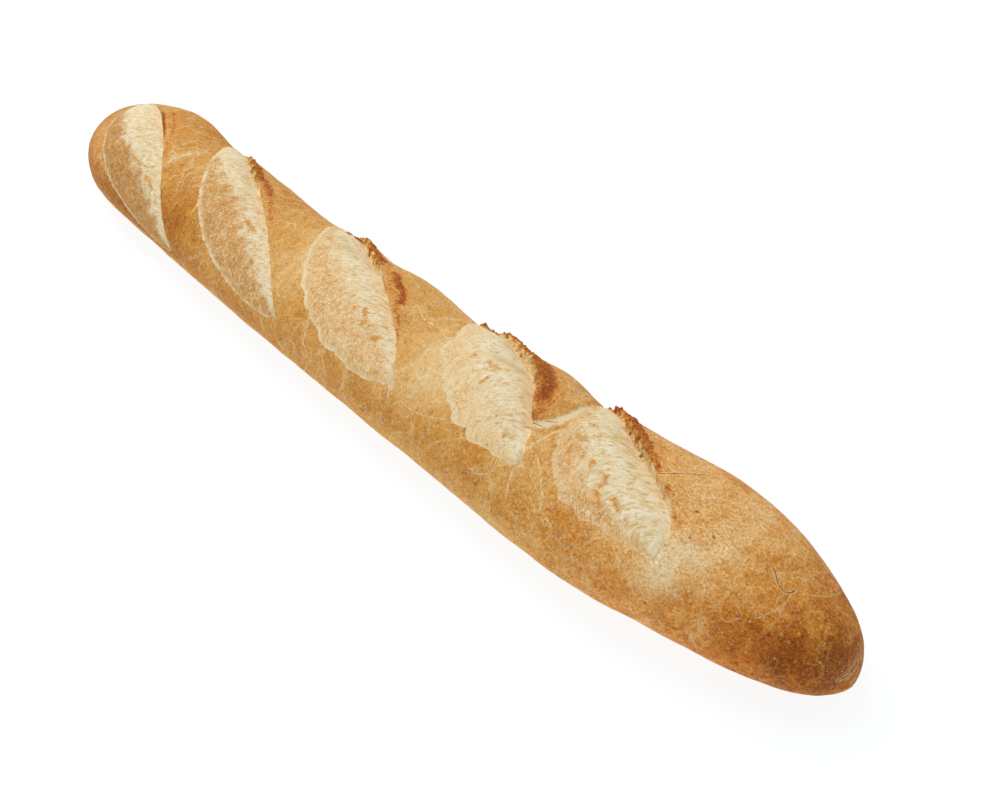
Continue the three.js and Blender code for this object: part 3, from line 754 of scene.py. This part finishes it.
class Tree:
    """Short ways to add shader nodes and join them."""

    def __init__(self, tree):
        self.tree = tree

    def add(self, kind, inputs=None, **settings):
        node = self.tree.nodes.new(kind)
        for name, value in settings.items():
            setattr(node, name, value)
        for key, value in (inputs or {}).items():
            self.feed(node.inputs[key], value)
        return node

    def feed(self, socket, value):
        if isinstance(value, bpy.types.NodeSocket):
            self.tree.links.new(value, socket)
        else:
            socket.default_value = value

    def math(self, operation, first, second=0.0, clamp=False):
        return self.add("ShaderNodeMath", {0: first, 1: second}, operation=operation,
                        use_clamp=clamp).outputs[0]

    def minus(self, first, second, clamp=False):
        return self.math("SUBTRACT", first, second, clamp)

    def one_by_one(self, operation, values):
        """The operation on the first two values, then on the result and the third, and so on."""
        return functools.reduce(functools.partial(self.math, operation), values)

    def times(self, *values):
        return self.one_by_one("MULTIPLY", values)

    def plus(self, *values):
        return self.one_by_one("ADD", values)

    def largest(self, *values):
        return self.one_by_one("MAXIMUM", values)

    def vector_math(self, operation, *values):
        return self.add("ShaderNodeVectorMath", dict(enumerate(values)),
                        operation=operation).outputs[0]

    def scaled(self, vector, *scale):
        return self.vector_math("MULTIPLY", vector, scale)

    def moved(self, vector, *offset):
        return self.vector_math("ADD", vector, offset)

    def band(self, value, low, high, to_low=0.0, to_high=1.0):
        """Smoothly from to_low to to_high as the value goes from low to high."""
        return self.add("ShaderNodeMapRange", {"Value": value, "From Min": low, "From Max": high,
                                               "To Min": to_low, "To Max": to_high},
                        interpolation_type="SMOOTHSTEP").outputs["Result"]

    def varied(self, value, *textures):
        """The value pushed up and down by 0 to 1 textures, each with its amount."""
        for texture, amount in textures:
            value = self.plus(value, self.times(self.minus(texture, 0.5), amount))
        return value

    def shaded(self, colour, *textures):
        """The colour made paler and browner by textures around 0.5, each with its amount."""
        for texture, amount in textures:
            strength = [amount * share for share in SHADE_SHARES]
            factor = self.vector_math("MULTIPLY_ADD", self.minus(texture, 0.5), strength, (1, 1, 1))
            colour = self.vector_math("MULTIPLY", colour, factor)
        return colour

    def around(self, texture, gain):
        """A texture around 0.5 with its differences made stronger or weaker."""
        return self.plus(self.times(self.minus(texture, 0.5), gain), 0.5)

    def mix(self, share, first, second):
        return self.add("ShaderNodeMix", {0: share, 6: first, 7: second},
                        data_type="RGBA").outputs[2]

    def mix_values(self, share, first, second):
        return self.add("ShaderNodeMix", {0: share, 2: first, 3: second}).outputs[0]

    def ramp(self, value, stops):
        node = self.add("ShaderNodeValToRGB", {0: value})
        band = node.color_ramp
        while len(band.elements) < len(stops):
            band.elements.new(0.5)
        for element, (position, colour) in zip(band.elements, stops):
            element.position = position
            element.color = colour
        return node.outputs[0]

    def attribute(self, name, output="Fac"):
        return self.add("ShaderNodeAttribute", attribute_name=name).outputs[output]

    def millimetres(self):
        """Object coordinates in millimetres."""
        return self.scaled(self.add("ShaderNodeTexCoord").outputs["Object"], 1000, 1000, 1000)

    def noise(self, vector, size, detail=2.0, roughness=0.5, distortion=0.0):
        """Noise from 0 to 1 whose grains are about size mm."""
        return self.add("ShaderNodeTexNoise", {"Vector": vector, "Scale": 1.0 / size,
                                               "Detail": detail, "Roughness": roughness,
                                               "Distortion": distortion}).outputs["Fac"]

    def threads(self, texture, width):
        """Wandering lines where a 0 to 1 texture crosses its middle."""
        return self.band(self.math("ABSOLUTE", self.minus(texture, 0.5)), width, 0.3 * width)

    def line(self, side, beside, half_width):
        """A drawn line of some half width from its signed distance and its reach."""
        room = self.minus(self.times(beside, half_width), self.math("ABSOLUTE", side))
        return self.band(room, -0.12, 0.15)


def shader_group(name, inputs, outputs):
    """An empty node group with number or vector sockets, its tree, and its two ends."""
    kinds = {"number": "NodeSocketFloat", "vector": "NodeSocketVector"}
    group = bpy.data.node_groups.new(name, "ShaderNodeTree")
    for in_out, sockets in (("INPUT", inputs), ("OUTPUT", outputs)):
        for socket, kind in sockets.items():
            group.interface.new_socket(socket, in_out=in_out, socket_type=kinds[kind])
    tree = Tree(group)
    return group, tree, tree.add("NodeGroupInput").outputs, tree.add("NodeGroupOutput").inputs


def crackle_group():
    """Thin broken lines where the skin of the crust stretched and split."""
    group, tree, given, out = shader_group(
        "Crackle lines", {"Place": "vector", "Size": "number", "Width": "number", "Cover": "number"},
        {"Lines": "number"})
    warp = tree.add("ShaderNodeTexNoise", {"Vector": given["Place"], "Scale": 0.25, "Detail": 3.0})
    bent = tree.vector_math("ADD", given["Place"], tree.scaled(warp.outputs["Color"], 7, 7, 7))
    scale = tree.math("DIVIDE", 1.0, given["Size"])
    cells = tree.add("ShaderNodeTexVoronoi", {"Vector": bent, "Scale": scale},
                     feature="DISTANCE_TO_EDGE").outputs["Distance"]
    distance = tree.times(cells, given["Size"])
    line = tree.minus(1.0, tree.math("DIVIDE", distance, given["Width"]), clamp=True)
    patches = tree.noise(given["Place"], 9.0, detail=1.0)
    shown = tree.minus(patches, tree.minus(1.0, given["Cover"]))
    shown = tree.math("MULTIPLY", shown, 8.0, clamp=True)
    tree.feed(out["Lines"], tree.times(line, shown))
    return group


# ---------------------------------------------------------------- colours
def tone(red, green, blue):
    """An sRGB colour, 0 to 255, as the linear colour that shaders take."""
    def linear(value):
        value /= 255.0
        return value / 12.92 if value <= 0.04045 else ((value + 0.055) / 1.055) ** 2.4
    return (linear(red), linear(green), linear(blue), 1.0)


def tones(*stops):
    """The stops of a colour ramp, each given by its position and its sRGB colour."""
    return [(position, tone(*colour)) for position, *colour in stops]


CRUST_TONES = tones((0.00, 253, 230, 188), (0.20, 246, 212, 154), (0.40, 236, 188, 116),
                    (0.55, 224, 163, 78), (0.70, 204, 134, 46), (0.85, 178, 104, 32),
                    (1.00, 138, 72, 20))
NEAR_TONES = tones((0.00, 253, 226, 182), (0.20, 247, 206, 144), (0.40, 238, 180, 104),
                   (0.55, 226, 154, 68), (0.70, 206, 125, 40), (0.85, 179, 97, 29),
                   (1.00, 138, 68, 20))
PALE_SKIN = tone(251, 224, 170)
PALE_ON_BROWN = tone(250, 208, 128)
PALE_DUST = tone(248, 228, 186)
SPOT_TONE = tone(158, 76, 20)
DOT_TONE = tone(190, 116, 52)
CRACK_TONE = tone(132, 62, 10)
CARAMEL_TONES = tones((0.0, 232, 164, 86), (0.5, 204, 122, 52), (1.0, 156, 80, 34))
CRAG_TONES = tones((0.00, 253, 232, 180), (0.25, 246, 206, 132), (0.50, 232, 166, 84),
                   (0.75, 214, 134, 60), (1.00, 180, 96, 38))
# Cream dough: its own pale tones, with the darkest stop as painted shade in the valleys between
# strands
CREAM_AND_SHADE_TONES = tones((0.26, 222, 188, 124), (0.40, 240, 213, 160), (0.52, 248, 229, 187),
                    (0.70, 254, 243, 216))
BAKED_TONES = tones((0.00, 253, 230, 182), (0.35, 246, 203, 144), (0.60, 236, 177, 104),
                    (0.80, 217, 151, 70), (1.00, 188, 124, 34))
THREAD_TONE = tone(254, 234, 186)
GRAIN_TONE = tone(214, 140, 68)
FLECK_TONE = tone(220, 146, 52)
BORDER_TONE = tone(253, 234, 190)
# Painted grey-green shade of the hollows under the lips
HOLLOW_SHADE_TONE = tone(208, 186, 136)
# Painted shade in the pits between the crumbs
PIT_SHADE_TONE = tone(172, 92, 26)
FLOOR_TONE = (0.13, 0.16, 0.19, 1.0)
WHITE = (1.0, 1.0, 1.0, 1.0)


# ---------------------------------------------------------------- the skin of the crust
# Stretches of x over which the skin changes from the far half to the near half, and
# over which its redness ends again at the near tip
BUBBLIER = (60.0, 170.0)
REDDER = (105.0, 170.0)
REDNESS_ENDS = (234.0, 214.0)
FLOURY = (40.0, 150.0)
FAINTER = (120.0, 170.0)
# On the scale of toast, dark crust starts at the first and is fully dark at the second
DARK = (0.62, 0.80)


# Here "skin", and below "dough", hold the textures that several layers share.
def skin_textures(tree, place, woven, grain):
    along = tree.add("ShaderNodeSeparateXYZ", {0: place}).outputs["X"]
    bubbly = tree.band(along, *BUBBLIER, 0.9, 2.0)
    toast = tree.attribute("toast")
    return SimpleNamespace(
        place=place, woven=woven, grain=grain, toast=toast, along=along, bubbly=bubbly,
        dark=tree.band(toast, *DARK),
        middle=tree.noise(place, 3.6, detail=3.0, roughness=0.62),
        mottle=tree.noise(place, 1.7, roughness=0.6, distortion=0.6),
        bubbles=tree.around(tree.noise(place, 0.85, detail=1.0), bubbly))


def golden_skin(tree, skin):
    """Pale gold to brown and mottled, redder and more uneven on the near half."""
    blotch = tree.around(tree.noise(skin.place, 12.0), skin.bubbly)
    mottle = tree.around(skin.mottle, skin.bubbly)
    streaks = tree.noise(tree.scaled(skin.woven, 1.0, 0.25, 1.0), 1.3, roughness=0.6)
    toast = tree.varied(skin.toast, (blotch, 0.30), (skin.middle, 0.45), (mottle, 0.30),
                        (streaks, 0.22), (skin.grain, 0.35))
    near_half = tree.times(tree.band(skin.along, *REDDER), tree.band(skin.along, *REDNESS_ENDS))
    colour = tree.mix(near_half, tree.ramp(toast, CRUST_TONES), tree.ramp(toast, NEAR_TONES))
    return tree.shaded(colour, (skin.bubbles, 0.65), (skin.mottle, 0.30))


def with_dots(tree, skin, colour):
    """Pinholes, most where the crust is dark, and brown dots toward the near end."""
    pinholes = tree.noise(tree.moved(skin.place, 5, 9, 2), 1.9, detail=1.0)
    pinholes = tree.times(tree.band(pinholes, 0.34, 0.29), tree.band(skin.dark, 0, 1, 0.25, 0.8))
    colour = tree.mix(pinholes, colour, SPOT_TONE)
    dots = tree.noise(tree.moved(skin.place, 13, 4, 1), 1.15, detail=1.0, distortion=0.4)
    dots = tree.times(tree.band(dots, 0.43, 0.36), tree.band(skin.along, *BUBBLIER, 0.12, 0.34))
    return tree.mix(dots, colour, DOT_TONE)


def crackle_lines(tree, skin):
    """Large and small crackle, and fine wandering threads."""
    crackle = crackle_group()
    slender = tree.scaled(skin.place, 1.0, 0.5, 0.5)
    lines = []
    for place, size, width, cover in ((slender, 11.0, 0.36, 0.56),
                                      (tree.moved(slender, 40, 7, 3), 5.0, 0.28, 0.52)):
        node = tree.add("ShaderNodeGroup", node_tree=crackle)
        for name, value in (("Place", place), ("Size", size), ("Width", width), ("Cover", cover)):
            tree.feed(node.inputs[name], value)
        lines.append(node.outputs["Lines"])
    threads = tree.threads(tree.noise(skin.place, 2.3, distortion=1.2), 0.025)
    threads = tree.times(threads, tree.band(skin.middle, 0.45, 0.58))
    crackled = tree.largest(lines[0], tree.times(lines[1], 0.8))
    return tree.largest(tree.times(crackled, 0.62), tree.times(threads, 0.60))


def pale_lines(tree, skin):
    """Where the skin is pale: crackle, specks, drawn veins, and flour on the near half."""
    specks = tree.noise(tree.moved(skin.place, 31, 0, 9), 1.25, detail=1.0, distortion=0.5)
    specks = tree.times(tree.band(specks, 0.61, 0.69), tree.band(skin.middle, 0.36, 0.56, 0.15, 0.50))
    faint = tree.times(tree.band(skin.dark, 0, 1, 1.0, 0.55),
                       tree.band(skin.along, *FAINTER, 1.0, 0.75))
    side = tree.varied(tree.attribute("vein"), (tree.noise(skin.place, 1.6), 1.1))
    veins = tree.line(side, tree.attribute("by_vein"), 0.42)
    veins = tree.times(veins, tree.band(skin.mottle, 0.36, 0.56, 0.15, 0.80), faint)
    seeds = tree.add("ShaderNodeTexVoronoi", {"Vector": skin.place, "Scale": 0.42}).outputs
    flour = tree.times(tree.band(seeds["Distance"], 0.24, 0.10),
                       tree.band(seeds["Color"], 0.35, 0.75),
                       tree.band(skin.along, *FLOURY, 0.1, 0.70))
    lines = tree.times(tree.largest(crackle_lines(tree, skin), specks), faint)
    return tree.largest(lines, veins, flour)


def with_dust(tree, skin, colour):
    amount = tree.attribute("pale")
    dusty = tree.varied(amount, (skin.mottle, 1.1), (skin.middle, 0.7), (skin.grain, 1.2))
    share = tree.times(tree.band(dusty, 0.15, 0.75), tree.band(amount, 0.0, 0.2), 0.85)
    return tree.mix(share, colour, PALE_DUST)


def with_caramel(tree, skin, colour):
    """Strokes of caramelised crust, and small burnt spots."""
    amount = tree.attribute("caramel")
    caramel = tree.varied(amount, (skin.middle, 0.60), (skin.grain, 1.50), (skin.mottle, 0.90))
    brown = tree.ramp(tree.band(caramel, 0.20, 1.30), CARAMEL_TONES)
    share = tree.times(tree.band(caramel, 0.05, 0.65), tree.band(amount, 0.02, 0.2))
    colour = tree.mix(share, colour, tree.shaded(brown, (skin.bubbles, 0.6)))
    spot = tree.varied(tree.attribute("spot"), (skin.grain, 0.4))
    return tree.mix(tree.band(spot, 0.20, 0.80), colour, SPOT_TONE)


def crust_skin(tree, place, woven, grain):
    """The golden skin of the crust, and its height in mm."""
    skin = skin_textures(tree, place, woven, grain)
    colour = with_dots(tree, skin, golden_skin(tree, skin))
    lines = pale_lines(tree, skin)
    colour = tree.mix(lines, colour, tree.mix(skin.dark, PALE_SKIN, PALE_ON_BROWN))
    colour = with_caramel(tree, skin, with_dust(tree, skin, colour))
    height = tree.plus(tree.times(grain, 0.22), tree.times(skin.middle, 0.22),
                       tree.times(skin.mottle, 0.22), tree.times(lines, 0.08))
    return colour, height


# ---------------------------------------------------------------- the opened dough
def dough_textures(tree, place, woven, grain):
    return SimpleNamespace(
        woven=woven, grain=grain, baked=tree.attribute("baked"),
        strands=tree.noise(tree.scaled(woven, 1.0, 0.36, 1.0), 0.95, roughness=0.55, distortion=0.7),
        folds=tree.noise(tree.scaled(woven, 1.0, 0.30, 1.0), 3.6, distortion=0.5),
        curls=tree.noise(tree.scaled(woven, 1.0, 0.65, 1.0), 1.15, detail=1.0, distortion=1.6),
        patches=tree.noise(place, 6.0, detail=3.0, roughness=0.6),
        middle=tree.noise(place, 2.2, roughness=0.6, distortion=0.7))


def cream_dough(tree, dough):
    """The strands of dough that stayed pale, their tone varying, and darker in the valleys between
    them as painted shade.
    """
    cream = tree.varied(dough.strands, (dough.folds, 0.40), (dough.curls, 0.35))
    return tree.shaded(tree.ramp(cream, CREAM_AND_SHADE_TONES), (dough.strands, 0.25), (dough.curls, 0.30))


def peach_dough(tree, dough):
    """The baked dough under a net of pale threads, with brown and pale grains."""
    baked = tree.varied(dough.baked, (dough.patches, 0.9), (dough.middle, 0.6), (dough.curls, 0.9),
                        (dough.grain, 0.35))
    peach = tree.ramp(baked, BAKED_TONES)
    peach = tree.shaded(peach, (dough.curls, 0.60), (dough.grain, 0.60))
    grains = tree.noise(tree.scaled(dough.woven, 1.0, 0.7, 1.0), 1.05, detail=1.0, distortion=0.8)
    browner = tree.times(tree.band(grains, 0.45, 0.37), tree.band(dough.baked, 0.2, 1.0, 0.30, 0.65))
    peach = tree.mix(browner, peach, GRAIN_TONE)
    paler = tree.times(tree.band(grains, 0.53, 0.61), tree.band(dough.middle, 0.38, 0.55, 0.10, 0.70),
                       tree.band(dough.baked, 0.75, 1.0, 1.0, 0.5))
    peach = tree.mix(paler, peach, THREAD_TONE)
    net = tree.times(tree.threads(dough.curls, 0.13), tree.band(dough.middle, 0.38, 0.52, 0.2, 1.0),
                     tree.band(dough.baked, 0.1, 1.05, 0.92, 0.32))
    return tree.mix(net, peach, THREAD_TONE)


def with_flakes(tree, dough, colour):
    amount = tree.attribute("fleck")
    fleck = tree.varied(amount, (dough.middle, 1.5), (dough.curls, 2.0))
    share = tree.times(tree.band(fleck, 0.25, 0.85), tree.band(amount, 0.05, 0.3), 0.90)
    return tree.mix(share, colour, tree.shaded(FLECK_TONE[:3], (dough.curls, 0.8)))


def with_border(tree, dough, colour):
    """The pale edge of an opening."""
    inside = tree.varied(tree.attribute("inside"), (dough.middle, 2.6), (dough.curls, 3.0))
    edge = tree.times(tree.band(inside, 3.0, 0.8), tree.band(tree.attribute("ahead"), 0.5, 3.0),
                      tree.band(dough.patches, 0.38, 0.58, 0.15, 1.0), tree.attribute("rim"))
    return tree.mix(edge, colour, BORDER_TONE)


def with_hollow_shade(tree, dough, colour):
    """Painted grey-green shade in the hollows under the lips, and a fainter band of it along every
    lip.
    """
    # The hollow mask also dips the dough; here it paints grey-green shade.
    hollow = tree.varied(tree.attribute("hollow"), (dough.patches, 0.8), (dough.strands, 1.6),
                         (dough.curls, 1.2))
    # Painted shade along every lip, fading out 2.6 mm ahead of it.
    lip_shade = tree.band(tree.attribute("ahead"), 2.6, 0.0, 0.0, 0.22)
    hollow = tree.plus(tree.band(hollow, 0.1, 0.9), lip_shade)
    return tree.mix(tree.times(hollow, 0.60), colour, HOLLOW_SHADE_TONE)


def opened_dough(tree, place, woven, grain):
    """The pale dough inside the openings, baked toward their far edge; and its height."""
    dough = dough_textures(tree, place, woven, grain)
    past_cream = tree.varied(tree.attribute("past_cream"), (dough.patches, 0.55),
                             (dough.middle, 0.45))
    outer = tree.band(past_cream, -0.10, 0.14)
    colour = tree.mix(outer, cream_dough(tree, dough), peach_dough(tree, dough))
    for layer in (with_flakes, with_border, with_hollow_shade):
        colour = layer(tree, dough, colour)
    creamy = tree.plus(tree.times(dough.strands, 0.45), tree.times(dough.folds, 0.30))
    baked = tree.plus(tree.times(dough.curls, 0.45), tree.times(dough.middle, 0.20))
    return colour, tree.mix_values(outer, creamy, baked)


# ---------------------------------------------------------------- the whole crust
def with_cracks(tree, place, colour):
    """Dark hair cracks with a pale edge."""
    side = tree.varied(tree.attribute("crack"), (tree.noise(place, 1.4), 1.1))
    beside = tree.attribute("by_crack")
    crack = tree.times(tree.line(side, beside, 0.22), beside, 0.85)
    edge = tree.times(tree.line(side, beside, 0.75), beside, 0.30)
    return tree.mix(crack, tree.mix(edge, colour, PALE_SKIN), CRACK_TONE)


def with_crags(tree, place, crumbs, craggy, colour):
    """The torn crumbs of the lips, pale in front and browned behind, with painted shade in the pits
    between them.
    """
    amount = tree.attribute("crag")
    crag = tree.varied(amount, (crumbs, 1.0), (tree.noise(place, 2.6), 0.6))
    colour = tree.mix(craggy, colour, tree.shaded(tree.ramp(crag, CRAG_TONES), (crumbs, 0.9)))
    # Painted shade in the pits, a little stronger where the crumbs are browned.
    pit_shade = tree.times(tree.attribute("pit_shade"), tree.band(amount, 0.0, 0.6, 0.75, 0.9))
    return tree.mix(pit_shade, colour, PIT_SHADE_TONE)


def crust_material():
    material = bpy.data.materials.new("baked_crust")
    material.use_nodes = True
    material.node_tree.nodes.clear()
    tree = Tree(material.node_tree)
    place = tree.millimetres()
    woven = tree.attribute("woven", "Vector")
    grain = tree.noise(place, 1.0, detail=1.0, roughness=0.6)
    skin, skin_height = crust_skin(tree, place, woven, grain)
    dough, dough_height = opened_dough(tree, place, woven, grain)
    inside = tree.varied(tree.attribute("inside"), (tree.noise(place, 1.5), 1.8))
    opened = tree.times(tree.band(inside, -0.15, 0.25), tree.band(tree.attribute("ahead"), -0.25, 0.2))
    crumbs = tree.noise(place, 0.9, roughness=0.7, distortion=0.5)
    craggy = tree.band(tree.attribute("crag"), 0.02, 0.14)
    colour = with_crags(tree, place, crumbs, craggy, tree.mix(opened, skin, dough))
    colour = with_cracks(tree, place, colour)
    height = tree.mix_values(opened, skin_height, dough_height)
    height = tree.mix_values(craggy, height, tree.times(crumbs, 0.8))
    bump = tree.add("ShaderNodeBump", {"Strength": 1.0, "Distance": MM, "Height": height})
    rough = tree.mix_values(opened, tree.band(grain, 0.2, 0.8, 0.55, 0.72), 0.85)
    shader = tree.add("ShaderNodeBsdfPrincipled", {
        "Base Color": colour, "Roughness": rough, "Normal": bump.outputs[0],
        "Subsurface Weight": 0.0, "Specular IOR Level": 0.10})
    tree.add("ShaderNodeOutputMaterial", {0: shader.outputs[0]})
    return material


# ---------------------------------------------------------------- the studio
FLOOR_SIZE = 12.0
FLOOR_GLOW = 0.88
WORLD_GLOW = 0.44
KEY_LIGHT = dict(location=(-1.15, 0.22, 1.85), size=1.5, watts=26.0)
FILL_LIGHT = dict(location=(0.9, -0.7, 0.9), size=1.4, watts=1.0)
CAMERA_FROM = (344.7, -264.7, 400.0)
CAMERA_TO = (47.1, 23.4, 0.0)
LENS = 48.0
SENSOR = 36.0


def floor_material():
    material = bpy.data.materials.new("pale_floor")
    material.use_nodes = True
    shader = material.node_tree.nodes["Principled BSDF"]
    shader.inputs["Base Color"].default_value = FLOOR_TONE
    shader.inputs["Roughness"].default_value = 0.9
    shader.inputs["Emission Color"].default_value = WHITE
    shader.inputs["Emission Strength"].default_value = FLOOR_GLOW
    return material


def studio_floor():
    bpy.ops.object.select_all(action="DESELECT")
    bpy.ops.mesh.primitive_plane_add(size=FLOOR_SIZE, location=(0.0, 0.0, 0.0))
    floor = bpy.context.object
    floor.name = "studio_floor"
    floor.data.materials.append(floor_material())


def aimed(location, target):
    return (Vector(target) - Vector(location)).to_track_quat("-Z", "Y").to_euler()


def soft_light(name, location, size, watts):
    """A round lamp that shines at the middle of the loaf."""
    turned = aimed(location, (0.0, 0.0, 0.0))
    bpy.ops.object.light_add(type="AREA", location=location, rotation=turned)
    light = bpy.context.object
    light.name = name
    light.data.shape = "DISK"
    light.data.size = size
    light.data.energy = watts


def studio_camera(shift):
    place = [(a + b) * MM for a, b in zip(CAMERA_FROM, shift)]
    target = [(a + b) * MM for a, b in zip(CAMERA_TO, shift)]
    bpy.ops.object.camera_add(location=place, rotation=aimed(place, target))
    camera = bpy.context.object
    camera.name = "studio_camera"
    camera.data.lens = LENS
    camera.data.sensor_width = SENSOR
    camera.data.clip_start = 0.01
    bpy.context.scene.camera = camera


def studio_lights():
    soft_light("key_light", **KEY_LIGHT)
    soft_light("fill_light", **FILL_LIGHT)
    world = bpy.data.worlds.new("studio_world")
    world.use_nodes = True
    world.node_tree.nodes["Background"].inputs["Color"].default_value = WHITE
    world.node_tree.nodes["Background"].inputs["Strength"].default_value = WORLD_GLOW
    bpy.context.scene.world = world
    bpy.context.scene.view_settings.view_transform = "Standard"


loaf, frame_shift = sculpted_loaf()
pieces = [loaf]
for number, slash in enumerate(SLASHES):
    if slash.crag:
        pieces.append(crag_strip(number, frame_shift))
crust = crust_material()
for piece in pieces:
    piece.data.materials.append(crust)
    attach(piece, "root")
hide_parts("baguette")

studio_floor()
studio_lights()
studio_camera(frame_shift)
